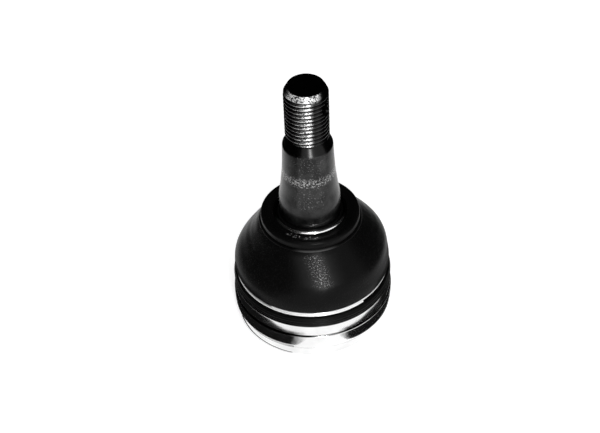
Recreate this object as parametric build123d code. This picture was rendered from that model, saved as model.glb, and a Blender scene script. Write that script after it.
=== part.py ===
from build123d import *
import os
from math import acos, asin, cos, degrees, radians, sin, sqrt

os.makedirs("parts", exist_ok=True)

# Press-in ball joint of a suspension arm, in millimetres.
# Z runs up the stud's axis and z = 0 is the base, on which the joint stands.
# Outlines are half sections (distance from the axis, height) turned about Z.

# Ball and how far the stud leans
ball_radius = 12.5
ball_flat_depth = 8.5  # from the ball's centre down to the flat under it
neck_radius = 6.4
neck_fillet = 1.5
lean_limit = 25.0  # degrees, each way from upright
lean_spare = 1.6  # degrees left between neck and mouth at full lean

# Bearing seats, moulded in polymer
running_gap = 0.05  # ball to seats
seat_wall = 2.0
seat_gap = 0.05  # seats to the bore, and the lower cup to what it stands on
seat_split = 0.4  # height of the gap between the two seats
cup_floor = 0.75
cup_hole_radius = 5.4
grease_groove_radius = 0.8
grease_groove_depth = 0.45
grease_groove_pairs = 3

# Preload stack below the cup
pressure_plate_thickness = 0.7
spring_thickness = 0.7
spring_rise = 0.5  # height of the disc spring's cone
spring_hole_radius = 7.4
closing_plate_thickness = 1.7
closing_plate_ledge = 2.6  # how far the plate reaches past the bore
closing_plate_boss_radius = 5.2
closing_plate_boss_rise = 0.6
stack_gap = 0.1  # edge of each disc to the wall round it

# Rolled lip that holds the closing plate
lip_thickness = 1.3
lip_reach = 2.3
lip_round = 0.8

# Outside of the housing
body_radius = 22.6  # wall that is pressed into the arm's eye
body_bottom = 5.0
body_top = 9.0
rim_inset = 0.9  # rim inside the pressed wall, so that it leads in
rim_height = 3.3
step_depth = 0.5
step_height = 0.45
band_inset = 0.3  # band above the step, inside the pressed wall
band_chamfer = 0.4
shelf_height = 13.3  # top of the band, on which the boot's lip rests
boot_groove_depth = 3.4
boot_groove_height = 4.0
boot_shoulder_rise = 0.6
boot_shoulder_height = 1.0
mouth_flare = 1.7
mouth_flare_height = 0.9
mouth_wall = 1.6  # ring of metal left round the flared mouth
mouth_bevel = 0.7

# Dust boot
boot_lip_overhang = 0.1  # boot's lip outside the housing's band
boot_lip_height = 2.5
boot_lip_round = 0.4
bead_gap = 0.1  # boot's bead to the groove in the housing
shelf_gap = 0.05  # boot's lip to the shelf
ring_seat_depth = 1.9
boot_overhang = 1.45  # widest part of the dome outside the ring's seat
boot_wide_height = 1.3  # widest part of the dome above the ring's seat
boot_wall = 1.8
dome_low_share = 0.27  # where along the dome its lower bulge is, 0 at the widest part and 1 at the flange
dome_low_bulge = 1.43  # how far the dome stands out of a straight cone there
dome_high_share = 0.55
dome_high_bulge = 1.21
boot_head_room = 7.4  # housing's top to the flange of the boot
flange_radius = 13.8
flange_thickness = 2.8
flange_dish = 0.6  # how far the flange's top sinks towards the stud
lip_wall = 0.55  # thin rubber lip that grips the stud
lip_rise = 1.1
lip_gap = 0.08  # boot's lip to the stud

# Spring wire rings
lower_wire_radius = 0.5
lower_wire_pitch = 1.03
lower_ring_overlap = 79.0  # degrees
lower_ring_start = -44.0  # degrees, where the lower end of the wire lies
upper_wire_radius = 0.55
ring_gap = 0.05  # wire rings to the rubber they sit on

# Stud above the neck
collar_radius = 8.5
collar_start_drop = 0.2  # collar begins this far under the boot's flange
neck_flare_length = 4.0
seal_land_length = 4.6  # straight collar above the boot's flange
shank_length = 12.4  # from the collar in to the taper
shank_middle_radius = 7.76
taper_large_radius = 7.2
taper_small_radius = 6.85
taper_length = 7.3
relief_radius = 5.5
relief_slope_length = 2.4
relief_length = 0.4
thread_radius = 6.0
thread_lead = 0.5
thread_length = 14.0
end_chamfer_radius = 4.95
end_chamfer_length = 2.1
cotter_hole_radius = 1.6
cotter_hole_drop = 5.6  # hole's axis below the stud's end
cotter_hole_turn = -30.0  # degrees from +X to the hole's axis
cotter_hole_bevel = 0.4

# Heights and radii that follow
plate_floor = lip_thickness
spring_floor = plate_floor + closing_plate_thickness
pressure_floor = spring_floor + spring_thickness + spring_rise
cup_bottom = pressure_floor + pressure_plate_thickness + seat_gap
seat_radius = ball_radius + running_gap
seat_outer_radius = seat_radius + seat_wall
bore_radius = seat_outer_radius + seat_gap
ball_height = cup_bottom + cup_floor + sqrt(seat_radius**2 - cup_hole_radius**2)
plate_radius = bore_radius + closing_plate_ledge
mouth_angle = lean_limit + lean_spare + degrees(asin(neck_radius / bore_radius))
mouth_radius = bore_radius * sin(radians(mouth_angle))
mouth_height = ball_height + bore_radius * cos(radians(mouth_angle))
housing_top = mouth_height + mouth_flare_height
mouth_outer_radius = mouth_radius + mouth_flare + mouth_wall
rim_radius = body_radius - rim_inset
band_radius = body_radius - band_inset
boot_groove_radius = band_radius - boot_groove_depth
boot_lip_radius = band_radius + boot_lip_overhang
ring_seat_radius = boot_lip_radius - ring_seat_depth
boot_radius = ring_seat_radius + boot_overhang
groove_top = shelf_height + boot_groove_height
lower_ring_turns = 1 + lower_ring_overlap / 360
lower_ring_rise = lower_wire_pitch * lower_ring_turns
ring_seat_floor = shelf_height + boot_lip_height
ring_seat_top = ring_seat_floor + lower_ring_rise + 2 * (lower_wire_radius + ring_gap)
boot_wide_at = ring_seat_top + boot_wide_height
flange_floor = housing_top + boot_head_room
flange_top = flange_floor + flange_thickness
lip_radius = collar_radius + lip_gap + lip_wall
collar_start = flange_floor - collar_start_drop
seal_land_top = flange_top + seal_land_length
taper_start = seal_land_top + shank_length
taper_end = taper_start + taper_length
relief_start = taper_end + relief_slope_length
relief_end = relief_start + relief_length
thread_start = relief_end + thread_lead
thread_end = thread_start + thread_length
stud_end = thread_end + end_chamfer_length


def turned(*lines):
    """Solid of revolution about Z of the closed outline that these lines make."""
    outline = Curve() + list(lines)
    return revolve(Plane.XZ * make_face(outline), Axis.Z)


def on_sphere(radius, polar):
    """Point of the half section at this distance from the ball's centre, polar degrees from upright."""
    return (radius * sin(radians(polar)), ball_height + radius * cos(radians(polar)))


def round_ball(radius, polar_from, polar_to):
    """Arc of the half section about the ball's centre."""
    middle = (polar_from + polar_to) / 2
    ends = on_sphere(radius, polar_from), on_sphere(radius, polar_to)
    return ThreePointArc(ends[0], on_sphere(radius, middle), ends[1])


def make_housing():
    """Forged cup: rolled lip, press-in wall, boot groove and flared mouth over a round bore."""
    plate_top = plate_floor + closing_plate_thickness
    lip_inner = plate_radius - lip_reach
    inside = [
        (mouth_radius + mouth_flare, housing_top),
        (mouth_radius, mouth_height),
    ]
    bore = [
        (bore_radius, ball_height),
        (bore_radius, plate_top),
        (plate_radius, plate_top),
        (plate_radius, plate_floor),
        (lip_inner, plate_floor),
        (lip_inner, 0),
        (rim_radius - lip_round, 0),
    ]
    outside = [
        (rim_radius, lip_round),
        (rim_radius, rim_height),
        (body_radius, body_bottom),
        (body_radius, body_top),
        (band_radius - step_depth, body_top),
        (band_radius - step_depth, body_top + step_height),
        (band_radius, body_top + step_height),
        (band_radius, shelf_height - band_chamfer),
        (band_radius - band_chamfer, shelf_height),
        (boot_groove_radius, shelf_height),
        (boot_groove_radius, groove_top),
        (boot_groove_radius + boot_shoulder_rise, groove_top),
        (boot_groove_radius + boot_shoulder_rise, groove_top + boot_shoulder_height),
        (mouth_outer_radius, housing_top - mouth_bevel),
        (mouth_outer_radius - mouth_bevel, housing_top),
        inside[0],
    ]
    return turned(
        Polyline(*inside),
        round_ball(bore_radius, mouth_angle, 90),
        Polyline(*bore),
        RadiusArc(bore[-1], outside[0], -lip_round),
        Polyline(*outside),
    )


def make_closing_plate():
    """Pressed disc under the rolled lip, with a round boss pressed inwards."""
    edge = plate_radius - stack_gap
    boss_slope = closing_plate_boss_rise
    top = plate_floor + closing_plate_thickness
    return turned(
        Polyline(
            (0, plate_floor + closing_plate_boss_rise),
            (closing_plate_boss_radius, plate_floor + closing_plate_boss_rise),
            (closing_plate_boss_radius + boss_slope, plate_floor),
            (edge, plate_floor),
            (edge, top),
            (closing_plate_boss_radius + boss_slope, top),
            (closing_plate_boss_radius, top + closing_plate_boss_rise),
            (0, top + closing_plate_boss_rise),
            close=True,
        )
    )


def make_disc_spring():
    """Conical washer that presses the lower cup against the ball."""
    edge = bore_radius - stack_gap
    return turned(
        Polyline(
            (edge, spring_floor),
            (edge, spring_floor + spring_thickness),
            (spring_hole_radius, spring_floor + spring_rise + spring_thickness),
            (spring_hole_radius, spring_floor + spring_rise),
            close=True,
        )
    )


def make_pressure_plate():
    """Flat steel washer between the disc spring and the lower cup."""
    edge = bore_radius - stack_gap
    washer = Circle(edge) - Circle(cup_hole_radius)
    return extrude(Plane.XY.offset(pressure_floor) * washer, pressure_plate_thickness)


def cut_grease_grooves(seat):
    """Grooves along the meridians of a seat's round face, each pair from one ring."""
    ring_radius = seat_radius + grease_groove_depth - grease_groove_radius
    ring = Pos(0, 0, ball_height) * Rot(90, 0, 0) * Torus(ring_radius, grease_groove_radius)
    for pair in range(grease_groove_pairs):
        seat = seat - Rot(0, 0, 180 / grease_groove_pairs * pair) * ring
    return seat


def make_lower_cup():
    """Seat under the ball's equator, open in the middle for grease and the ball's flat."""
    top = ball_height - seat_split
    top_angle = degrees(acos(-seat_split / seat_radius))
    hole_angle = 180 - degrees(asin(cup_hole_radius / seat_radius))
    cup = turned(
        round_ball(seat_radius, top_angle, hole_angle),
        Polyline(
            on_sphere(seat_radius, hole_angle),
            (cup_hole_radius, cup_bottom),
            (seat_outer_radius, cup_bottom),
            (seat_outer_radius, top),
            on_sphere(seat_radius, top_angle),
        ),
    )
    return cut_grease_grooves(cup)


def make_upper_shell():
    """Seat over the ball's equator, cut back at the mouth for the leaning neck."""
    fillet_angle = asin((neck_radius + neck_fillet) / (ball_radius + neck_fillet))
    inner_angle = lean_limit + lean_spare + degrees(fillet_angle)
    outer_angle = mouth_angle + lean_spare
    shell = turned(
        round_ball(seat_radius, inner_angle, 90),
        Line(on_sphere(seat_radius, 90), on_sphere(seat_outer_radius, 90)),
        round_ball(seat_outer_radius, 90, outer_angle),
        Line(on_sphere(seat_outer_radius, outer_angle), on_sphere(seat_radius, inner_angle)),
    )
    return cut_grease_grooves(shell)


def stud_ball_outline():
    """Half section of the stud from the flat under the ball up to the neck."""
    flat_angle = 180 - degrees(acos(ball_flat_depth / ball_radius))
    centre_distance = ball_radius + neck_fillet
    fillet_angle = degrees(asin((neck_radius + neck_fillet) / centre_distance))
    fillet_centre = on_sphere(centre_distance, fillet_angle)
    neck_start = (neck_radius, fillet_centre[1])
    flat_edge = on_sphere(ball_radius, flat_angle)
    fillet_end = on_sphere(ball_radius, fillet_angle)
    lines = [
        Line((0, flat_edge[1]), flat_edge),
        round_ball(ball_radius, flat_angle, fillet_angle),
        RadiusArc(fillet_end, neck_start, neck_fillet),
    ]
    return lines, neck_start


def make_ball_stud():
    """One forging: ball, neck, collar for the boot, shank, taper and the end for the nut."""
    ball, neck_start = stud_ball_outline()
    flare_start = collar_start - neck_flare_length
    flare = Spline(
        (neck_radius, flare_start),
        (collar_radius, collar_start),
        tangents=[(0, 1), (0, 1)],
    )
    taper_fall = (taper_small_radius - taper_large_radius) / taper_length
    shank = Spline(
        (collar_radius, seal_land_top),
        (shank_middle_radius, seal_land_top + shank_length / 2),
        (taper_large_radius, taper_start),
        tangents=[(0, 1), (taper_fall, 1)],
    )
    stud = turned(
        *ball,
        Line(neck_start, (neck_radius, flare_start)),
        flare,
        Line((collar_radius, collar_start), (collar_radius, seal_land_top)),
        shank,
        Polyline(
            (taper_large_radius, taper_start),
            (taper_small_radius, taper_end),
            (relief_radius, relief_start),
            (relief_radius, relief_end),
            (thread_radius, thread_start),
            (thread_radius, thread_end),
            (end_chamfer_radius, stud_end),
            (0, stud_end),
            (0, ball_height - ball_flat_depth),
        ),
    )
    return stud - cotter_hole()


def cotter_hole():
    """Cross hole for the cotter pin, with a bevel at both mouths."""
    through = 4 * thread_radius
    hole = Cylinder(cotter_hole_radius, through)
    # half of each cone is inside the thread's outer radius and half outside
    cone_height = 2 * cotter_hole_bevel
    mouth = Cone(cotter_hole_radius, cotter_hole_radius + cone_height, cone_height)
    hole += Pos(0, 0, thread_radius) * mouth
    hole += Pos(0, 0, -thread_radius) * Rot(180, 0, 0) * mouth
    height = stud_end - cotter_hole_drop
    return Pos(0, 0, height) * Rot(0, 0, cotter_hole_turn) * Rot(0, 90, 0) * hole


def boot_dome(inset, wide_point, top_point):
    """Bulging wall of the boot, from its widest ring to the flange, moved in by inset."""
    across = top_point[0] - wide_point[0]
    along = top_point[1] - wide_point[1]
    length = sqrt(across**2 + along**2)
    out = (along / length, -across / length)
    bulges = {0: 0, dome_low_share: dome_low_bulge, dome_high_share: dome_high_bulge, 1: 0}
    points = []
    for share, bulge in bulges.items():
        stand = bulge - inset
        points.append(
            (
                wide_point[0] + across * share + out[0] * stand,
                wide_point[1] + along * share + out[1] * stand,
            )
        )
    return Spline(*points)


def make_dust_boot():
    """Rubber boot: bead and lip below, ring seat, dome, flange and the lip round the stud."""
    bead_radius = boot_groove_radius + bead_gap
    bore = collar_radius + lip_gap
    shelf = shelf_height + shelf_gap
    ring_floor = flange_top - flange_dish
    dome = boot_dome(0, (boot_radius, boot_wide_at), (flange_radius, flange_floor))
    inner = boot_dome(boot_wall, (boot_radius, boot_wide_at), (flange_radius, flange_floor))
    inner_low = inner @ 0
    inner_high = inner @ 1
    bead_top = groove_top - bead_gap
    lip_top = ring_floor + lip_rise
    return turned(
        Polyline(
            (bead_radius, shelf),
            (boot_lip_radius - boot_lip_round, shelf),
            (boot_lip_radius, shelf + boot_lip_round),
            (boot_lip_radius, ring_seat_floor - boot_lip_round),
            (boot_lip_radius - boot_lip_round, ring_seat_floor),
            (ring_seat_radius, ring_seat_floor),
            (ring_seat_radius, ring_seat_top),
            (boot_radius - boot_lip_round, ring_seat_top),
            (boot_radius, boot_wide_at),
        ),
        dome,
        Polyline(
            (flange_radius, flange_floor),
            (flange_radius, flange_top - boot_lip_round),
            (flange_radius - boot_lip_round, flange_top),
            (lip_radius + 2 * upper_wire_radius + boot_lip_round, ring_floor),
            (lip_radius, ring_floor),
            (lip_radius, lip_top),
            (bore, lip_top),
            (bore, flange_floor),
            (inner_high.X, inner_high.Y),
        ),
        inner,
        Polyline(
            (inner_low.X, inner_low.Y),
            (boot_groove_radius + boot_shoulder_rise + bead_gap, bead_top),
            (bead_radius, bead_top),
            (bead_radius, shelf),
        ),
    )


def make_lower_clamp_ring():
    """Spring wire wound a little over one turn, its ends lying one above the other."""
    radius = ring_seat_radius + ring_gap + lower_wire_radius
    path = Helix(lower_wire_pitch, lower_ring_rise, radius, lefthand=True)
    section = Plane(path @ 0, z_dir=path % 0) * Circle(lower_wire_radius)
    wire = sweep(section, path, is_frenet=True)
    height = ring_seat_floor + ring_gap + lower_wire_radius
    return Pos(0, 0, height) * Rot(0, 0, lower_ring_start) * wire


def make_upper_clamp_ring():
    """Closed wire ring on the flange, round the lip that grips the stud."""
    radius = lip_radius + ring_gap + upper_wire_radius
    height = flange_top - flange_dish + ring_gap + upper_wire_radius
    return Pos(0, 0, height) * Torus(radius, upper_wire_radius)


pieces = {
    "housing": make_housing(),
    "closing_plate": make_closing_plate(),
    "disc_spring": make_disc_spring(),
    "pressure_plate": make_pressure_plate(),
    "lower_bearing_cup": make_lower_cup(),
    "upper_bearing_shell": make_upper_shell(),
    "ball_stud": make_ball_stud(),
    "dust_boot": make_dust_boot(),
    "lower_clamp_ring": make_lower_clamp_ring(),
    "upper_clamp_ring": make_upper_clamp_ring(),
}
for name, piece in pieces.items():
    export_step(piece, f"parts/{name}.step")
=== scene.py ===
from math import acos, asin, cos, degrees, pi, radians, sin

import bpy
from mathutils import Matrix, Vector


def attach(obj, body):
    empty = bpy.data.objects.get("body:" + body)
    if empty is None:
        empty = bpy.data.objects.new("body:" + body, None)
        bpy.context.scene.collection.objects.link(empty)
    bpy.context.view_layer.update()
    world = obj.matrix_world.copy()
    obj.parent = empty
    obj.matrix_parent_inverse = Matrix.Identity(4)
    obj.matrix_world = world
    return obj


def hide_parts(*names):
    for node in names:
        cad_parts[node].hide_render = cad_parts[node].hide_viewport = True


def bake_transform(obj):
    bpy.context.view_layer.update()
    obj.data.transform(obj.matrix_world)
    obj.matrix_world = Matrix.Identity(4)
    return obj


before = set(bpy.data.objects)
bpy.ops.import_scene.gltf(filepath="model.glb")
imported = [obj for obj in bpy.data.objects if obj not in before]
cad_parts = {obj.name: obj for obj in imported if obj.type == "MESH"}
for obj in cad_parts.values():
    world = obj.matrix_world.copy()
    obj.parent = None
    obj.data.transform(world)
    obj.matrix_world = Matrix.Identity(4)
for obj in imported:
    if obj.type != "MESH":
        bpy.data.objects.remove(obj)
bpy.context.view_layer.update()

MM = 0.001

# ---------------------------------------------------------------- camera and studio

VIEW_ELEVATION = radians(43.46)
VIEW_DISTANCE = 430.7 * MM
VIEW_TARGET_HEIGHT = 33.9 * MM
VIEW_ROLL = radians(-2.15)
VIEW_YAW = radians(0.385)
VIEW_PITCH = radians(0.03)
VIEW_CLIP_START = 10 * MM
LENS = 92.88

WORLD_LIGHT = 0.16
FLOOR_TONE = 0.8
FLOOR_GLOW = 0.55
FLOOR_RADIUS = 3.0
CARD_TONE = 0.01
CARD_STEP = 3  # degrees between the points of a floor card
FLOOR_CARD_HEIGHT = 0.05 * MM
EDGE_CARD_HEIGHT = 0.06 * MM
LAMP_AIM = Vector((0, 0, 30 * MM))

# Name, azimuth, elevation, distance, width, height, power, and whether reflections show it;
# degrees, metres and watts
SOFTBOXES = [
    ("front_box", 10, 20, 0.7, 0.1, 0.3, 2.9, True),
    ("top_box", 8, 74, 0.9, 0.12, 0.5, 2, True),
    ("left_box", -100, 35, 0.9, 0.5, 0.5, 1.7, False),
    ("right_box", 110, 35, 0.9, 0.5, 0.5, 1.7, False),
]

# Name, radius in metres, first and last azimuth, first and last elevation
CANOPIES = [
    ("dark_canopy", 0.5, (75, 332), (-4, 90)),
    ("dark_top", 1.59, (0, 360), (62, 90)),
]

# Azimuth, inner and outer radius in millimetres
DARK_FAR = [(75, 88, 520), (315, 88, 520)]
# The edge and foot cards are painted shadow: black floor that only reflections show, where the floor under
# the edge and round the foot lies in shade; the foot card is open in front, where the floor is lit.
EDGE_SHADOW_ROWS = [(245, 20.6, 22.5), (342, 20.6, 22.4)]
FOOT_SHADOW_ROWS = [
    (23, 29.5, 31.0),
    (28, 27.3, 31.2),
    (35, 26.4, 31.1),
    (47, 25.4, 31.1),
    (60, 25.0, 31.4),
    (76, 24.9, 30.6),
    (80, 24.8, 42.0),
    (110, 24.6, 42.0),
    (250, 23.9, 42.0),
    (300, 24.3, 42.0),
    (304, 24.5, 34.0),
    (310, 24.7, 33.0),
    (323, 25.2, 31.8),
    (334, 26.2, 31.5),
    (341, 26.9, 31.6),
    (346, 27.8, 31.7),
    (352, 30.0, 31.8),
]


def set_camera():
    """Camera in front of the joint and above it, turned slightly off level."""
    camera = bpy.data.objects.new("camera", bpy.data.cameras.new("camera"))
    bpy.context.scene.collection.objects.link(camera)
    camera.data.lens = LENS
    camera.data.clip_start = VIEW_CLIP_START
    back = VIEW_DISTANCE * cos(VIEW_ELEVATION)
    up = VIEW_TARGET_HEIGHT + VIEW_DISTANCE * sin(VIEW_ELEVATION)
    turn = (
        Matrix.Rotation(pi / 2 - VIEW_ELEVATION, 4, "X")
        @ Matrix.Rotation(VIEW_YAW, 4, "Y")
        @ Matrix.Rotation(VIEW_PITCH, 4, "X")
        @ Matrix.Rotation(VIEW_ROLL, 4, "Z")
    )
    camera.matrix_world = Matrix.Translation((0, -back, up)) @ turn
    bpy.context.scene.camera = camera


def towards(azimuth, elevation):
    """Direction from the joint; azimuth 0 is in front of it and 90 to its right."""
    flat = cos(radians(elevation))
    return Vector(
        (sin(radians(azimuth)) * flat, -cos(radians(azimuth)) * flat, sin(radians(elevation)))
    )


def add_softbox(name, azimuth, elevation, distance, width, height, power, mirrored):
    lamp = bpy.data.lights.new(name, "AREA")
    lamp.shape = "RECTANGLE"
    lamp.size = width
    lamp.size_y = height
    lamp.energy = power
    box = bpy.data.objects.new(name, lamp)
    bpy.context.scene.collection.objects.link(box)
    away = towards(azimuth, elevation)
    box.location = LAMP_AIM + away * distance
    box.rotation_euler = away.to_track_quat("Z", "Y").to_euler()
    box.visible_glossy = mirrored


def add_node(tree, kind, inputs):
    """New shader node; each input, by its name or number, gets a value or another node's output."""
    node = tree.nodes.new("ShaderNode" + kind)
    for name, value in inputs.items():
        feed(tree, node.inputs[name], value)
    return node


def feed(tree, socket, value):
    if isinstance(value, bpy.types.NodeSocket):
        tree.links.new(value, socket)
    else:
        socket.default_value = value


def strength_when_seen(tree, seen, otherwise):
    """Strength of a light that the camera and reflections see at one value, and all else at another."""
    path = add_node(tree, "LightPath", {})
    rays = {0: path.outputs["Is Camera Ray"], 1: path.outputs["Is Glossy Ray"]}
    either = add_node(tree, "Math", rays)
    either.operation = "MAXIMUM"
    ends = {"Value": either.outputs["Value"], "To Min": otherwise, "To Max": seen}
    return add_node(tree, "MapRange", ends).outputs["Result"]


def set_world():
    world = bpy.data.worlds.new("studio")
    bpy.context.scene.world = world
    world.use_nodes = True
    tree = world.node_tree
    tree.nodes.clear()
    strength = strength_when_seen(tree, 1, WORLD_LIGHT)
    light = add_node(tree, "Background", {"Color": (1, 1, 1, 1), "Strength": strength})
    add_node(tree, "OutputWorld", {"Surface": light.outputs["Background"]})


def set_floor():
    """Sheet that takes light and shadow, and glows where it is seen, so that it looks white."""
    bpy.ops.object.select_all(action="DESELECT")
    bpy.ops.mesh.primitive_circle_add(
        vertices=96, radius=FLOOR_RADIUS, fill_type="NGON", location=(0, 0, 0)
    )
    floor = bpy.context.object
    floor.name = "floor"
    sheet = bpy.data.materials.new("white_sheet")
    sheet.use_nodes = True
    tree = sheet.node_tree
    tree.nodes.clear()
    matt = add_node(tree, "BsdfDiffuse", {"Color": (*grey(FLOOR_TONE), 1)})
    glow = add_node(tree, "Emission", {"Strength": strength_when_seen(tree, FLOOR_GLOW, 0)})
    both = add_node(tree, "AddShader", {0: matt.outputs["BSDF"], 1: glow.outputs["Emission"]})
    add_node(tree, "OutputMaterial", {"Surface": both.outputs["Shader"]})
    floor.data.materials.append(sheet)


def add_card(name, paint, points, columns):
    """Card through rows of points, this many faces wide; it throws no shadow and only reflections see it."""
    faces = []
    for row in range(len(points) // (columns + 1) - 1):
        for column in range(columns):
            a = row * (columns + 1) + column
            faces.append((a, a + 1, a + columns + 2, a + columns + 1))
    mesh = bpy.data.meshes.new(name)
    mesh.from_pydata(points, [], faces)
    mesh.materials.append(paint)
    card = bpy.data.objects.new(name, mesh)
    bpy.context.scene.collection.objects.link(card)
    card.visible_camera = False
    card.visible_diffuse = False
    card.visible_shadow = False
    card.visible_transmission = False


def add_floor_card(name, paint, rows, height):
    """Black card cut to lie round the joint's foot; rows are (azimuth, inner radius, outer radius)."""
    points = []
    for before, after in zip(rows, rows[1:]):
        count = max(1, int((after[0] - before[0]) / CARD_STEP))
        for step in range(count + (after == rows[-1])):
            share = step / count
            azimuth, inner, outer = (a + (b - a) * share for a, b in zip(before, after))
            for radius in (inner, outer):
                direction = towards(azimuth, 0) * radius * MM
                points.append((direction.x, direction.y, height))
    add_card(name, paint, points, 1)


def add_canopy(name, paint, radius, azimuths, elevations):
    """Black cloth hung round the back and top, so that bright metal has something dark to show."""
    columns, rows = 48, 24
    points = []
    for row in range(rows + 1):
        elevation = elevations[0] + (elevations[1] - elevations[0]) * row / rows
        for column in range(columns + 1):
            azimuth = azimuths[0] + (azimuths[1] - azimuths[0]) * column / columns
            points.append(tuple(towards(azimuth, elevation) * radius))
    add_card(name, paint, points, columns)


def set_studio():
    bpy.context.scene.view_settings.view_transform = "Standard"
    set_world()
    set_floor()
    black = black_card("black_card").material
    # Painted shadow: black cards, seen only in reflections, round the foot and under its edge.
    add_floor_card("foot_shadow_card", frayed_shadow_card(), FOOT_SHADOW_ROWS, FLOOR_CARD_HEIGHT)
    add_floor_card("dark_far_card", black, DARK_FAR, FLOOR_CARD_HEIGHT)
    add_floor_card("edge_shadow_card", black, EDGE_SHADOW_ROWS, EDGE_CARD_HEIGHT)
    for name, radius, azimuths, elevations in CANOPIES:
        add_canopy(name, black, radius, azimuths, elevations)
    for softbox in SOFTBOXES:
        add_softbox(*softbox)


# ---------------------------------------------------------------- turned pieces, in millimetres

BALL_HEIGHT = 17.029
BALL_RADIUS = 12.5
BALL_FLAT_DEPTH = 8.5
BALL_FLAT_RADIUS = 9.165
NECK_RADIUS = 6.4
NECK_FILLET = 1.5
COLLAR_RADIUS = 8.5
HOUSING_BORE = 14.6
MOUTH_HEIGHT = 25.9
PLATE_SEAT_RADIUS = 17.2
SHELF_HEIGHT = 13.3
THREAD_RADIUS = 6.0
THREAD_PITCH = 1.25
THREAD_DEPTH = 0.75
THREAD_FOOT = 64.1
THREAD_TURNS = 17
STUD_END = 80.697
COTTER_RADIUS = 1.6
COTTER_HEIGHT = 75.097
COTTER_TURN = radians(-30)
WIRE_STEP = 2.5  # degrees between the sections of a wire
ROUNDING_SHARE = 0.49  # of a side of an outline that the rounding of a corner may take up


def arc(centre, radius, start, stop, count):
    """Points of the half section on a circle; angles in degrees from straight out, turning up."""
    points = []
    for step in range(count + 1):
        angle = radians(start + (stop - start) * step / count)
        points.append((centre[0] + radius * cos(angle), centre[1] + radius * sin(angle)))
    return points


def softened(corners, steps=4):
    """Outline through these corners (radius, height, size), each rounded off by its size."""
    outline = []
    last = len(corners) - 1
    for index, (x, z, size) in enumerate(corners):
        if size == 0 or index in (0, last):
            outline.append((x, z))
            continue
        ends = []
        for other in (corners[index - 1], corners[index + 1]):
            away = Vector((other[0] - x, other[1] - z))
            reach = min(size, away.length * ROUNDING_SHARE)
            ends.append(Vector((x, z)) + away.normalized() * reach)
        for step in range(steps + 1):
            t = step / steps
            point = ends[0] * (1 - t) ** 2 + Vector((x, z)) * 2 * t * (1 - t) + ends[1] * t**2
            outline.append((point.x, point.y))
    return outline


def eased(start, stop, lean_start, lean_stop, count):
    """Smooth run between two points of the half section, leaving and arriving at these slopes."""
    rise = stop[1] - start[1]
    points = []
    for step in range(count + 1):
        t = step / count
        x = (
            start[0] * (2 * t**3 - 3 * t**2 + 1)
            + lean_start * rise * (t**3 - 2 * t**2 + t)
            + stop[0] * (3 * t**2 - 2 * t**3)
            + lean_stop * rise * (t**3 - t**2)
        )
        points.append((x, start[1] + rise * t))
    return points


def pick(piece):
    """Selects this object alone and makes it the active one."""
    bpy.ops.object.select_all(action="DESELECT")
    piece.select_set(True)
    bpy.context.view_layer.objects.active = piece


def turn_outline(name, outline, count):
    """Ring of points at the outline's start, extruded and resized from point to point."""
    bpy.ops.object.select_all(action="DESELECT")
    radius, height = outline[0]
    bpy.ops.mesh.primitive_circle_add(
        vertices=count, radius=radius * MM, location=(0, 0, height * MM)
    )
    piece = bpy.context.object
    piece.name = piece.data.name = name
    bpy.ops.object.transform_apply(location=True, rotation=False, scale=False)
    bpy.ops.object.mode_set(mode="EDIT")
    bpy.ops.mesh.select_all(action="SELECT")
    for next_radius, next_height in outline[1:]:
        bpy.ops.mesh.extrude_region_move(
            TRANSFORM_OT_translate={"value": (0, 0, (next_height - height) * MM)}
        )
        grow = next_radius / radius
        bpy.ops.transform.resize(value=(grow, grow, 1), center_override=(0, 0, next_height * MM))
        radius, height = next_radius, next_height
    return piece


def close_end():
    """Draws the selected ring in and merges it to one point on the axis."""
    bpy.ops.mesh.extrude_region_move(TRANSFORM_OT_translate={"value": (0, 0, 0)})
    bpy.ops.transform.resize(value=(0.5, 0.5, 1), center_override=(0, 0, 0))
    bpy.ops.mesh.extrude_region_move(TRANSFORM_OT_translate={"value": (0, 0, 0)})
    bpy.ops.mesh.merge(type="CENTER")


def select_between(piece, radii, heights):
    """In edit mode, selects only the points between these distances from the axis and heights."""
    bpy.ops.mesh.select_mode(type="VERT")
    bpy.ops.mesh.select_all(action="DESELECT")
    bpy.ops.object.mode_set(mode="OBJECT")
    for vertex in piece.data.vertices:
        radius, height = vertex.co.to_2d().length / MM, vertex.co.z / MM
        vertex.select = radii[0] <= radius <= radii[1] and heights[0] <= height <= heights[1]
    bpy.ops.object.mode_set(mode="EDIT")


def tidy_shell():
    """Merges the active piece's double points and turns its faces outward; ends in object mode."""
    bpy.ops.object.mode_set(mode="EDIT")
    bpy.ops.mesh.select_all(action="SELECT")
    bpy.ops.mesh.remove_doubles(threshold=0.002 * MM)
    bpy.ops.mesh.normals_make_consistent(inside=False)
    bpy.ops.object.mode_set(mode="OBJECT")


def smooth(piece, angle):
    """Shades the piece smooth, but for edges sharper than this angle in degrees."""
    pick(piece)
    bpy.ops.object.shade_smooth_by_angle(angle=radians(angle))


def closed_piece(name, outline, count):
    """Turned solid whose outline runs from its lower pole to its upper one."""
    piece = turn_outline(name, outline, count)
    close_end()
    radius, height = outline[0]
    select_between(piece, (radius - 0.01, radius + 0.01), (height - 0.01, height + 0.01))
    close_end()
    tidy_shell()
    return piece


def hollow_piece(name, outline, count):
    """Turned shell whose outline is closed by coming back to where it started."""
    piece = turn_outline(name, outline + outline[:1], count)
    tidy_shell()
    return piece


def apply_all(piece):
    pick(piece)
    for modifier in list(piece.modifiers):
        bpy.ops.object.modifier_apply(modifier=modifier.name)


def combine(piece, tool, operation):
    """Joins, cuts or intersects the piece with a tool, which is used up."""
    modifier = piece.modifiers.new(operation.lower(), "BOOLEAN")
    modifier.operation = operation
    modifier.solver = "EXACT"
    modifier.object = tool
    apply_all(piece)
    bpy.data.objects.remove(tool)
    tidy_shell()


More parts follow.
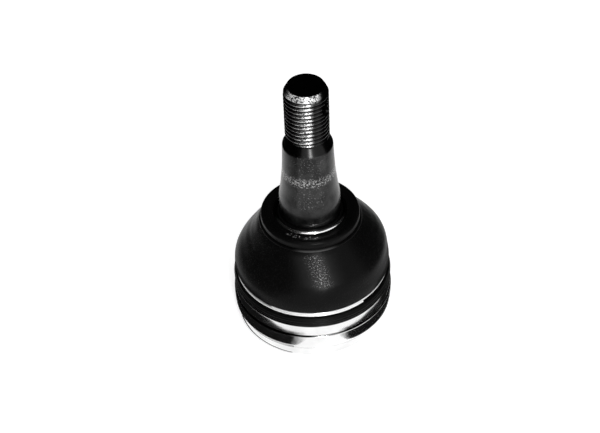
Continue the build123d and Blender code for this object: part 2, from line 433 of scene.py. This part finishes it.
def wind(piece, turn, rise, steps, rounds=1):
    """Winds a section up about Z through this turn in degrees, rising by rise."""
    screw = piece.modifiers.new("wind", "SCREW")
    screw.axis = "Z"
    screw.angle = radians(turn)
    screw.screw_offset = rise * MM
    screw.iterations = rounds
    screw.steps = screw.render_steps = steps
    screw.use_merge_vertices = True
    screw.merge_threshold = 0.001 * MM
    screw.use_smooth_shade = False
    apply_all(piece)


# ---------------------------------------------------------------- housing


def make_housing():
    """Turned cup with its edges dressed, from the rolled lip up outside and down through the bore."""
    foot_and_pressed_wall = [
        (14.9, 0.02, 0),
        (15.1, 0, 0.05),
        (20.9, 0, 0.5),
        (21.7, 0.8, 0.5),
        (21.7, 1.4, 0),
        (21.7, 2.95, 0),
        (21.7, 3.3, 0.25),
        (21.86, 3.6, 0),
        (22.4, 4.6, 0),
        (22.6, 4.98, 0.3),
        (22.6, 5.4, 0),
        (22.6, 8.8, 0),
        (22.6, 8.88, 0.04),
    ]
    groove_and_band = [
        (22.5, 9.0, 0.03),
        (21.84, 9.0, 0.1),
        (21.8, 9.45, 0.1),
        (22.27, 9.46, 0.03),
        (22.3, 9.5, 0.03),
        (22.3, 9.6, 0),
        (22.3, 12.7, 0),
        (22.3, 12.9, 0.1),
        (21.9, SHELF_HEIGHT, 0.15),
    ]
    bead_groove_and_mouth = [
        (18.9, SHELF_HEIGHT, 0.2),
        (18.9, 17.3, 0.15),
        (19.5, 17.3, 0.12),
        (19.5, 18.3, 0.3),
        (14.9, 26.1, 0.3),
        (14.2, 26.797, 0.3),
        (13.3, 26.797, 0.12),
        (11.6, MOUTH_HEIGHT, 0.12),
    ]
    outside = softened(foot_and_pressed_wall + groove_and_band + bead_groove_and_mouth)[:-1]
    mouth = degrees(acos((MOUTH_HEIGHT - BALL_HEIGHT) / HOUSING_BORE))
    inside = arc((0, BALL_HEIGHT), HOUSING_BORE, 90 - mouth, 0, 24)
    plate_seat = [
        (HOUSING_BORE, 3.0),
        (PLATE_SEAT_RADIUS, 3.0),
        (PLATE_SEAT_RADIUS, 1.3),
        (14.95, 1.3),
    ]
    housing = hollow_piece("turned_housing", outside + inside + plate_seat, count=160)
    smooth(housing, angle=28)
    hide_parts("housing")
    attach(housing, "housing")
    return housing


# ---------------------------------------------------------------- stud


def cut_thread():
    """Rolled thread: one tooth is drawn as a line and wound up round the stud's end."""
    root = THREAD_RADIUS - THREAD_DEPTH
    root_ease, root_flat = 0.02, 0.09
    crest_start, crest_end = 0.53, 0.70
    crest_dip, shoulder_dip, shoulder_width = 0.015, 0.07, 0.05
    tooth = [
        (root, 0.0),
        (root + root_ease, root_flat),
        (THREAD_RADIUS - shoulder_dip, crest_start - shoulder_width),
        (THREAD_RADIUS - crest_dip, crest_start),
        (THREAD_RADIUS, (crest_start + crest_end) / 2),
        (THREAD_RADIUS - crest_dip, crest_end),
        (THREAD_RADIUS - shoulder_dip, crest_end + shoulder_width),
        (root + root_ease, THREAD_PITCH - root_flat),
        (root, THREAD_PITCH),
    ]
    foot = THREAD_FOOT - 2 * THREAD_PITCH
    bpy.ops.object.select_all(action="DESELECT")
    bpy.ops.mesh.primitive_plane_add(size=0.1 * MM, location=(root * MM, 0, foot * MM))
    thread = bpy.context.object
    thread.name = "thread"
    bpy.ops.object.transform_apply(location=True, rotation=False, scale=False)
    bpy.ops.object.mode_set(mode="EDIT")
    bpy.ops.mesh.select_all(action="SELECT")
    bpy.ops.mesh.merge(type="CENTER")
    for before, after in zip(tooth, tooth[1:]):
        step = ((after[0] - before[0]) * MM, 0, (after[1] - before[1]) * MM)
        bpy.ops.mesh.extrude_region_move(TRANSFORM_OT_translate={"value": step})
    bpy.ops.object.mode_set(mode="OBJECT")
    wind(thread, 360, THREAD_PITCH, steps=96, rounds=THREAD_TURNS)
    close_thread_ends()
    combine(thread, make_thread_blank(), "INTERSECT")
    return thread


def close_thread_ends():
    """Joins the turns of the wound tooth to each other, and draws both open ends to a point."""
    tidy_shell()
    bpy.ops.object.mode_set(mode="EDIT")
    bpy.ops.mesh.select_mode(type="EDGE")
    bpy.ops.mesh.select_all(action="DESELECT")
    bpy.ops.mesh.select_non_manifold(extend=False, use_wire=False, use_multi_face=False)
    bpy.ops.mesh.extrude_region_move(TRANSFORM_OT_translate={"value": (0, 0, 0)})
    bpy.ops.mesh.merge(type="COLLAPSE")
    tidy_shell()


def make_thread_blank():
    """Solid that the thread is trimmed to: a run-out at its foot, and the chamfer at the stud's end."""
    wall, chamfer_foot = THREAD_RADIUS + 0.05, 78.65
    run_out = [(5.2, THREAD_FOOT - 0.2), (5.5, THREAD_FOOT), (wall, THREAD_FOOT + 0.55)]
    chamfer = [(wall, chamfer_foot, 0), (4.95, STUD_END, 0.25), (4.5, STUD_END, 0)]
    return closed_piece("thread_blank", run_out + softened(chamfer), count=96)


def make_cotter_drill():
    """Cutter for the cotter pin hole, wider at both mouths."""
    cone_start, cone_end = 5.45, 9.0
    wide = COTTER_RADIUS + 3.5
    outline = [
        (wide, -cone_end),
        (COTTER_RADIUS, -cone_start),
        (COTTER_RADIUS, cone_start),
        (wide, cone_end),
    ]
    drill = closed_piece("cotter_drill", outline, count=40)
    pick(drill)
    drill.rotation_euler = (0, pi / 2, COTTER_TURN)
    drill.location = (0, 0, COTTER_HEIGHT * MM)
    bpy.ops.object.transform_apply(location=True, rotation=True, scale=False)
    return drill


def make_stud():
    """Ball, neck, collar, concave shank and taper as one turned piece, then thread and cotter hole."""
    flat = BALL_HEIGHT - BALL_FLAT_DEPTH
    flat_angle = -degrees(asin(BALL_FLAT_DEPTH / BALL_RADIUS))
    fillet_centre = NECK_RADIUS + NECK_FILLET
    fillet_angle = degrees(asin(fillet_centre / (BALL_RADIUS + NECK_FILLET)))
    fillet_height = BALL_HEIGHT + (BALL_RADIUS + NECK_FILLET) * cos(radians(fillet_angle))
    outline = softened([(9.0, flat, 0), (BALL_FLAT_RADIUS, flat, 0.1), (9.2, flat + 0.05, 0)])[:-1]
    outline += arc((0, BALL_HEIGHT), BALL_RADIUS, flat_angle + 0.5, 90 - fillet_angle, 40)
    outline += arc((fillet_centre, fillet_height), NECK_FILLET, 270 - fillet_angle, 180, 6)[1:]
    neck_end, collar_foot, collar_middle, collar_top = 29.997, 33.997, 37.5, 41.597
    outline += eased((NECK_RADIUS, neck_end), (COLLAR_RADIUS, collar_foot), 0, 0, 8)
    outline += [(COLLAR_RADIUS, collar_middle), (COLLAR_RADIUS, collar_top)]
    shank, shank_slope = (7.76, 47.797), -0.11
    taper_foot, taper_slope = (7.2, 53.6), -0.06
    outline += eased((COLLAR_RADIUS, collar_top), shank, 0, shank_slope, 10)[1:]
    outline += eased(shank, taper_foot, shank_slope, taper_slope, 8)[1:]
    taper_and_relief = [
        (*taper_foot, 0),
        (7.19, 53.997, 0.3),
        (7.15, 54.3, 0),
        (6.85, 61.297, 0.35),
        (5.6, 63.6, 0.5),
        (5.3, THREAD_FOOT - 0.2, 0),
        (5.0, THREAD_FOOT + 0.3, 0),
    ]
    outline += softened(taper_and_relief)[1:]
    stud = closed_piece("threaded_stud", outline, count=128)
    combine(stud, cut_thread(), "UNION")
    combine(stud, make_cotter_drill(), "DIFFERENCE")
    smooth(stud, angle=30)
    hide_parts("ball_stud")
    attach(stud, "stud")
    return stud


# ---------------------------------------------------------------- rings


def make_wire(name, radius, height, wire, turn, rise, start, count):
    """Round wire of radius wire, wound up about Z; start is the azimuth of its first end from +X."""
    bpy.ops.object.select_all(action="DESELECT")
    bpy.ops.mesh.primitive_circle_add(
        vertices=count,
        radius=wire * MM,
        location=(radius * MM, 0, height * MM),
        rotation=(pi / 2, 0, 0),
    )
    ring = bpy.context.object
    ring.name = ring.data.name = name
    bpy.ops.object.transform_apply(location=True, rotation=True, scale=False)
    wind(ring, turn, rise, steps=int(abs(turn) / WIRE_STEP))
    if rise != 0:
        close_wire_ends(wire)
    tidy_shell()
    ring.rotation_euler = (0, 0, radians(start))
    bpy.ops.object.transform_apply(location=False, rotation=True, scale=False)
    smooth(ring, angle=50)
    return ring


def close_wire_ends(wire):
    """Caps both open ends of a wound wire with a small dressed edge."""
    bpy.ops.object.mode_set(mode="EDIT")
    bpy.ops.mesh.select_mode(type="EDGE")
    bpy.ops.mesh.select_all(action="DESELECT")
    bpy.ops.mesh.select_non_manifold(extend=False, use_wire=False, use_multi_face=False)
    bpy.ops.mesh.edge_face_add()
    bpy.ops.mesh.select_mode(type="FACE")
    bpy.ops.mesh.inset(thickness=wire * 0.25 * MM, depth=wire * 0.18 * MM, use_individual=True)
    bpy.ops.object.mode_set(mode="OBJECT")


def make_lower_ring():
    """Spring wire whose ends overlap, one above the other."""
    ring = make_wire(
        "lower_spring_ring",
        radius=21.2,
        height=16.4,
        wire=0.35,
        turn=-433,
        rise=0.88,
        start=-50,
        count=20,
    )
    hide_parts("lower_clamp_ring")
    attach(ring, "housing")
    return ring


def make_upper_ring():
    """Closed wire ring on the flange, round the lip that grips the stud."""
    ring = make_wire(
        "upper_spring_ring",
        radius=9.73,
        height=36.997,
        wire=0.55,
        turn=360,
        rise=0,
        start=0,
        count=24,
    )
    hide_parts("upper_clamp_ring")
    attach(ring, "boot_top")
    return ring


# ---------------------------------------------------------------- boot


def lean_dome(boot):
    """The rubber has taken a slight set: the dome stands a little further out to the right."""
    pick(boot)
    bpy.ops.object.mode_set(mode="EDIT")
    select_between(boot, radii=(0, 30), heights=(26.4, 28.6))
    bpy.ops.transform.translate(
        value=(0.9 * MM, 0, 0),
        use_proportional_edit=True,
        proportional_edit_falloff="SMOOTH",
        proportional_size=6 * MM,
    )
    bpy.ops.object.mode_set(mode="OBJECT")


def make_boot():
    """Moulded rubber boot, from the bead up over lip, ring seat, dome and flange, and back inside."""
    foot = SHELF_HEIGHT + 0.05
    lip_and_ring_seat = [
        (19.0, foot, 0),
        (21.9, foot, 0.2),
        (22.36, foot + 0.3, 0.2),
        (22.36, 14.05, 0.12),
        (22.2, 14.2, 0.1),
        (22.2, 14.45, 0.1),
        (22.38, 14.62, 0.15),
        (22.38, 14.95, 0.15),
        (22.15, 15.15, 0.12),
        (22.1, 15.45, 0.12),
        (21.7, 15.78, 0.25),
        (20.5, 15.8, 0.15),
        (20.5, 17.7, 0.15),
        (21.55, 17.72, 0.25),
    ]
    dome = [
        (21.86, 18.1, 0.35),
        (21.92, 19.46, 0.6),
        (21.78, 21.2, 1.0),
        (20.95, 24.1, 1.8),
        (19.75, 26.4, 1.6),
        (18.3, 28.4, 1.6),
        (15.9, 31.6, 1.8),
    ]
    flange = [
        (14.15, 33.85, 0.2),
        (14.05, 33.95, 0.08),
        (14.38, 34.1, 0.15),
        (14.3, 34.45, 0.2),
        (13.6, 34.55, 0.15),
        (13.6, 34.7, 0.1),
        (13.8, 34.9, 0.2),
        (13.8, 36.45, 0.35),
        (13.25, 36.99, 0.4),
        (12.2, 36.95, 0.6),
        (10.9, 36.45, 0.5),
    ]
    stud_lip = [
        (9.12, 36.4, 0.25),
        (9.12, 37.2, 0.3),
        (8.9, 37.49, 0.15),
        (8.6, 37.49, 0.1),
        (8.58, 36.6, 0.1),
        (8.75, 35.8, 0.3),
        (8.58, 35.0, 0.3),
        (8.62, 34.2, 0.3),
    ]
    inside = [
        (12.6, 33.15, 1.0),
        (14.4, 30.6, 1.6),
        (16.8, 27.5, 1.6),
        (18.3, 25.5, 1.6),
        (19.5, 23.3, 1.6),
        (20.15, 20.9, 1.0),
        (20.3, 18.6, 0.6),
        (19.75, 17.6, 0.3),
        (19.65, 17.2, 0.05),
        (19.0, 17.2, 0.15),
        (19.0, 15.3, 0.2),
        (19.0, foot, 0),
    ]
    outline = softened(lip_and_ring_seat + dome + flange + stud_lip + inside, steps=5)[:-1]
    boot = hollow_piece("moulded_boot", outline, count=144)
    lean_dome(boot)
    smooth(boot, angle=50)
    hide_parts("dust_boot")
    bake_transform(boot)
    return boot


# ---------------------------------------------------------------- finishes


def grey(value):
    return (value, value, value)


class Finish:
    """A Principled material that is built up node by node on the piece's own coordinates."""

    def __init__(self, name, colour, metallic, roughness):
        self.material = bpy.data.materials.new(name)
        self.material.use_nodes = True
        self.tree = self.material.node_tree
        self.shader = self.tree.nodes["Principled BSDF"]
        self.set("Base Color", (*colour, 1))
        self.set("Metallic", metallic)
        self.set("Roughness", roughness)
        self.place = self.node("TexCoord", {}).outputs["Object"]

    def set(self, name, value):
        """Gives one of the shader's inputs a value, or another node's output."""
        feed(self.tree, self.shader.inputs[name], value)

    def node(self, kind, inputs):
        return add_node(self.tree, kind, inputs)

    def maths(self, operation, a, b=0.0):
        node = self.node("Math", {0: a, 1: b})
        node.operation = operation
        return node.outputs["Value"]

    def product(self, first, *others):
        for other in others:
            first = self.maths("MULTIPLY", first, other)
        return first

    def blend(self, share, a, b):
        """Value a where share is 0, b where it is 1, and a mixture between."""
        return self.node("Mix", {"Factor": share, "A": a, "B": b}).outputs["Result"]

    def between(self, value, low, high):
        """Stretches a value of 0 to 1 to these limits."""
        ends = {"Value": value, "To Min": low, "To Max": high}
        return self.node("MapRange", ends).outputs["Result"]

    def fading(self, value, start, stop):
        """0 at start, 1 at stop and straight between them."""
        ends = {"Value": value, "From Min": start, "From Max": stop}
        return self.node("MapRange", ends).outputs["Result"]

    def above(self, value, start, stop):
        """0 below start, 1 above stop and smooth between them."""
        node = self.node("MapRange", {"Value": value, "From Min": start, "From Max": stop})
        node.interpolation_type = "SMOOTHSTEP"
        return node.outputs["Result"]

    def within(self, value, low, high, soft):
        """1 between low and high and 0 outside, changing over soft to either side of them."""
        over = self.above(value, low - soft, low + soft)
        under = self.maths("SUBTRACT", 1, self.above(value, high - soft, high + soft))
        return self.product(over, under)

    def coordinate(self, axis, scale=1 / MM):
        """Place along X, Y or Z, in millimetres."""
        parts = self.node("SeparateXYZ", {"Vector": self.place})
        return self.product(parts.outputs[axis], scale)

    def height(self):
        return self.coordinate("Z")

    def radius(self):
        """Distance from the axis, in millimetres."""
        x, y = self.coordinate("X"), self.coordinate("Y")
        return self.maths("SQRT", self.maths("ADD", self.product(x, x), self.product(y, y)))

    def band(self, low, high, soft):
        """1 between these heights."""
        return self.within(self.height(), low, high, soft)

    def across(self, low, high, soft):
        """1 between these distances to the right of the axis."""
        return self.within(self.coordinate("X"), low, high, soft)

    def towards_front(self, start, stop):
        """0 to 1 over these distances in front of the axis."""
        return self.above(self.coordinate("Y", -1 / MM), start, stop)

    def lathe_place(self, spread):
        """Coordinates that follow lathe marks: radius, height, and the angle times its spread."""
        angle = self.maths("ARCTAN2", self.coordinate("Y"), self.coordinate("X"))
        axes = {"X": self.radius(), "Y": self.height(), "Z": self.product(angle, spread)}
        return self.node("CombineXYZ", axes).outputs["Vector"]

    def noise(self, vector, scale, detail, rough=0.55):
        inputs = {"Vector": vector, "Scale": scale, "Detail": detail, "Roughness": rough}
        return self.node("TexNoise", inputs).outputs["Fac"]

    def ramp(self, value, *stops):
        """Colour that runs from one stop (position, colour) to the other."""
        node = self.node("ValToRGB", {"Fac": value})
        for element, (position, colour) in zip(node.color_ramp.elements, stops):
            element.position = position
            element.color = (*colour, 1)
        return node.outputs["Color"]

    def grey_colour(self, value):
        return self.node("CombineColor", {0: value, 1: value, 2: value}).outputs["Color"]

    def bump(self, height, strength, depth):
        inputs = {"Height": height, "Strength": strength, "Distance": depth * MM}
        self.set("Normal", self.node("Bump", inputs).outputs["Normal"])


def black_card(name):
    finish = Finish(name, grey(CARD_TONE), metallic=0.0, roughness=1.0)
    finish.set("Specular IOR Level", 0.0)
    return finish


def frayed_shadow_card():
    """Black card of painted floor shadow, whose two front ends are torn to threads, so that their
    reflections fade in streaks.
    """
    finish = black_card("frayed_shadow_card")
    azimuth = finish.maths("ARCTAN2", finish.coordinate("X"), finish.coordinate("Y", -1 / MM))
    threads = finish.noise(finish.place, scale=900, detail=2, rough=0.5)
    ragged = finish.maths("ADD", azimuth, finish.product(threads, 0.12))
    left = finish.product(finish.fading(ragged, -0.3, -0.06), finish.maths("LESS_THAN", azimuth, 0.0))
    right = finish.product(finish.fading(ragged, 0.6, 0.42), finish.maths("GREATER_THAN", azimuth, 0.0))
    clear = finish.node("BsdfTransparent", {})
    shaders = {1: finish.shader.outputs["BSDF"], 2: clear.outputs["BSDF"]}
    both = finish.node("MixShader", {"Fac": finish.maths("ADD", left, right), **shaders})
    out = finish.tree.nodes["Material Output"]
    feed(finish.tree, out.inputs["Surface"], both.outputs["Shader"])
    return finish.material


def turned_steel():
    """Bright steel, turned on a lathe. Painted shade darkens its groove, less in the lit front, the lip
    under the groove on the left, and all of it from the top edge up, under the boot."""
    finish = Finish("turned_steel", grey(0.8), metallic=1.0, roughness=0.2)
    marks = finish.noise(finish.lathe_place(spread=2), scale=2.6, detail=3)
    stains = finish.noise(finish.place, scale=90, detail=5)
    # Painted shade: the groove (less in the lit front), the lip under it on the left and the housing from
    # its top edge up are painted dark.
    lit_front = finish.product(finish.across(-1, 8, 3), finish.towards_front(14, 17))
    groove = finish.product(finish.band(8.96, 9.47, 0.02), finish.between(lit_front, 1, 0.1))
    top_edge = finish.above(finish.height(), 12.82, 12.9)
    left_lip = finish.product(finish.band(8.82, 8.96, 0.02), finish.across(-30, -4, 4))
    painted_shade = finish.maths("MAXIMUM", finish.maths("ADD", groove, top_edge), left_lip)
    tone = finish.blend(painted_shade, finish.between(stains, 0.55, 0.95), 0.02)
    finish.set("Base Color", finish.grey_colour(tone))
    finish.set("Roughness", finish.between(marks, 0.05, 0.16))
    finish.bump(marks, strength=0.2, depth=0.02)
    finish.set("Anisotropic", 0.4)
    tangent = finish.node("Tangent", {})
    tangent.direction_type = "RADIAL"
    tangent.axis = "Z"
    finish.set("Tangent", tangent.outputs["Tangent"])
    return finish.material


def stud_finish():
    """Dark phosphated forging with a scaly band under the taper and an oiled thread. Painted light:
    glints and a crest highlight in front, a chalky white chamfer in front (wear and a painted
    highlight), and painted shade that turns the relief and the end face near black."""
    finish = Finish("phosphated_steel", grey(0.1), metallic=1.0, roughness=0.4)
    grain = finish.noise(finish.place, scale=3400, detail=3, rough=0.7)
    coarse = finish.noise(finish.place, scale=2300, detail=3, rough=0.7)
    cloud = finish.noise(finish.place, scale=200, detail=4)
    threaded = finish.band(64.2, 81.2, 0.2)
    # Painted shade: the relief under the thread and the end face are painted near black.
    relief = finish.band(61.5, 64.2, 0.15)
    end_face = finish.above(finish.height(), 80.6, 80.68)
    # Painted highlight: the thread's crests are painted bright in front only.
    crest_highlight = finish.product(
        finish.across(-3.5, 1.1, 1.0),
        finish.towards_front(1, 3),
        finish.above(coarse, 0.36, 0.56),
        threaded,
        finish.above(finish.radius(), 5.4, 5.8),
    )
    # Painted glints: pale specks on the front of the shank only.
    shank_glints = finish.product(
        finish.across(-3.25, 3.25, 3.25),
        finish.towards_front(1, 3),
        finish.above(coarse, 0.58, 0.68),
        finish.band(44, 61, 1.5),
    )
    scales = finish.product(finish.band(51.5, 53.9, 0.7), finish.above(coarse, 0.5, 0.62))
    # The chamfer is painted chalky white in front only: wear and a painted highlight.
    wear_and_highlight = finish.product(
        finish.band(78.7, 81.2, 0.3),
        finish.towards_front(0.8, 3.6),
        finish.across(-6.2, 3.4, 0.9),
        finish.above(coarse, 0.46, 0.52),
    )
    tone = finish.between(finish.above(cloud, 0.36, 0.64), 0.005, 0.026)
    tone = finish.blend(threaded, tone, finish.between(cloud, 0.01, 0.035))
    for share, value in (
        (crest_highlight, 0.7),
        (relief, 0.003),
        (shank_glints, 0.2),
        (scales, 0.44),
        (wear_and_highlight, 0.95),
        (end_face, 0.002),
    ):
        tone = finish.blend(share, tone, value)
    finish.set("Base Color", finish.grey_colour(tone))
    chalky = finish.product(wear_and_highlight, 0.6, finish.between(end_face, 1, 0))
    finish.set("Metallic", finish.maths("SUBTRACT", 1, chalky))
    finish.set("Roughness", finish.blend(threaded, finish.between(grain, 0.28, 0.5), 0.24))
    finish.bump(grain, strength=0.5, depth=0.06)
    finish.set("Coat Weight", 0.4)
    finish.set("Coat Roughness", 0.2)
    return finish.material


def dome_patch(finish, low, high, soft):
    """Slanting patch on the front of the boot's dome, 1 between these distances across it."""
    slant = finish.product(finish.maths("SUBTRACT", finish.height(), 21), 0.36)
    strip = finish.within(finish.maths("ADD", finish.coordinate("X"), slant), low, high, soft)
    return finish.product(strip, finish.band(25.9, 33, 0.7), finish.towards_front(8, 12))


def moulded_rubber():
    """Black moulded rubber, satin. On its front, painted light: a painted sheen on the dome, metal-bright
    specks in it and beside the upper ring as painted glints, and a painted highlight line under the flange."""
    finish = Finish("moulded_rubber", grey(0.004), metallic=0.0, roughness=0.3)
    grain = finish.noise(finish.place, scale=3200, detail=3, rough=0.7)
    coarse = finish.noise(finish.place, scale=1700, detail=2)
    bloom = finish.noise(finish.place, scale=120, detail=4)
    # Painted sheen: a lighter slanting patch on the front of the dome.
    painted_sheen = dome_patch(finish, 0.6, 8.2, 4)
    # Metal-bright specks placed only inside that patch: painted glints.
    grit_glints = finish.product(dome_patch(finish, 3.4, 6.2, 2.2), finish.above(grain, 0.59, 0.62))
    # Painted glints: pale specks beside the upper ring, in front only.
    ring_glints = finish.product(
        finish.within(finish.radius(), 10.6, 11.9, 0.3),
        finish.across(-6.2, 1.6, 0.8),
        finish.towards_front(8, 9),
        finish.above(finish.height(), 35.5, 36),
        finish.above(coarse, 0.6, 0.64),
    )
    bright = finish.maths("MAXIMUM", grit_glints, ring_glints)
    # Painted highlight: a lighter line on the bead under the flange, in front.
    bead_highlight = finish.product(
        finish.band(34.0, 34.5, 0.06), finish.across(-3.4, 5.8, 2), finish.towards_front(11, 13)
    )
    tone = finish.between(bloom, 0.0012, 0.003)
    for share, value in ((painted_sheen, 0.016), (bead_highlight, 0.06), (bright, 0.9)):
        tone = finish.blend(share, tone, value)
    finish.set("Base Color", finish.grey_colour(tone))
    finish.set("Metallic", bright)
    finish.set("Roughness", finish.between(grain, 0.24, 0.4))
    finish.bump(finish.above(grain, 0.58, 0.7), strength=0.8, depth=0.1)
    finish.set("Specular IOR Level", 0.07)
    return finish.material


def plated_wire():
    """Zinc-plated spring wire: pale even where it has nothing bright to show."""
    finish = Finish("plated_wire", grey(0.95), metallic=0.45, roughness=0.2)
    scratches = finish.noise(finish.place, scale=1500, detail=3)
    finish.set("Roughness", finish.between(scratches, 0.12, 0.26))
    finish.set("Base Color", finish.grey_colour(finish.between(scratches, 0.85, 1.0)))
    return finish.material


def front_lit_wire():
    """The same wire, painted near black at the back and sides as shade and bright in front as a highlight.
    """
    finish = Finish("front_lit_wire", grey(0.9), metallic=1.0, roughness=0.16)
    scratches = finish.noise(finish.place, scale=1500, detail=3)
    # Painted light: the colour runs from near black at the back, as shade, to bright in front, as a
    # highlight.
    lit_front = finish.between(finish.towards_front(2.5, 6.5), 0.03, 0.95)
    finish.set("Base Color", finish.grey_colour(lit_front))
    finish.set("Roughness", finish.between(scratches, 0.1, 0.24))
    return finish.material


def pressed_steel():
    finish = Finish("pressed_steel", grey(0.45), metallic=1.0, roughness=0.4)
    cloud = finish.noise(finish.place, scale=200, detail=5)
    finish.set("Roughness", finish.between(cloud, 0.3, 0.5))
    finish.bump(cloud, strength=0.2, depth=0.05)
    return finish.material


def moulded_acetal():
    finish = Finish("moulded_acetal", (0.82, 0.8, 0.72), metallic=0.0, roughness=0.35)
    flow = finish.noise(finish.place, scale=140, detail=4)
    shaded, lit = (0.3, (0.78, 0.76, 0.68)), (0.7, (0.86, 0.84, 0.77))
    finish.set("Base Color", finish.ramp(flow, shaded, lit))
    return finish.material


def cover(piece, material):
    piece.data.materials.clear()
    piece.data.materials.append(material)


set_camera()
set_studio()
steel, stud_steel, wire, top_wire = turned_steel(), stud_finish(), plated_wire(), front_lit_wire()
rubber, plate, acetal = moulded_rubber(), pressed_steel(), moulded_acetal()
for name, material in (
    ("housing", steel),
    ("closing_plate", plate),
    ("disc_spring", plate),
    ("pressure_plate", plate),
    ("lower_bearing_cup", acetal),
    ("upper_bearing_shell", acetal),
    ("ball_stud", stud_steel),
    ("dust_boot", rubber),
    ("lower_clamp_ring", wire),
    ("upper_clamp_ring", top_wire),
):
    cover(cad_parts[name], material)
cover(make_housing(), steel)
cover(make_stud(), stud_steel)
cover(make_boot(), rubber)
cover(make_lower_ring(), wire)
cover(make_upper_ring(), top_wire)
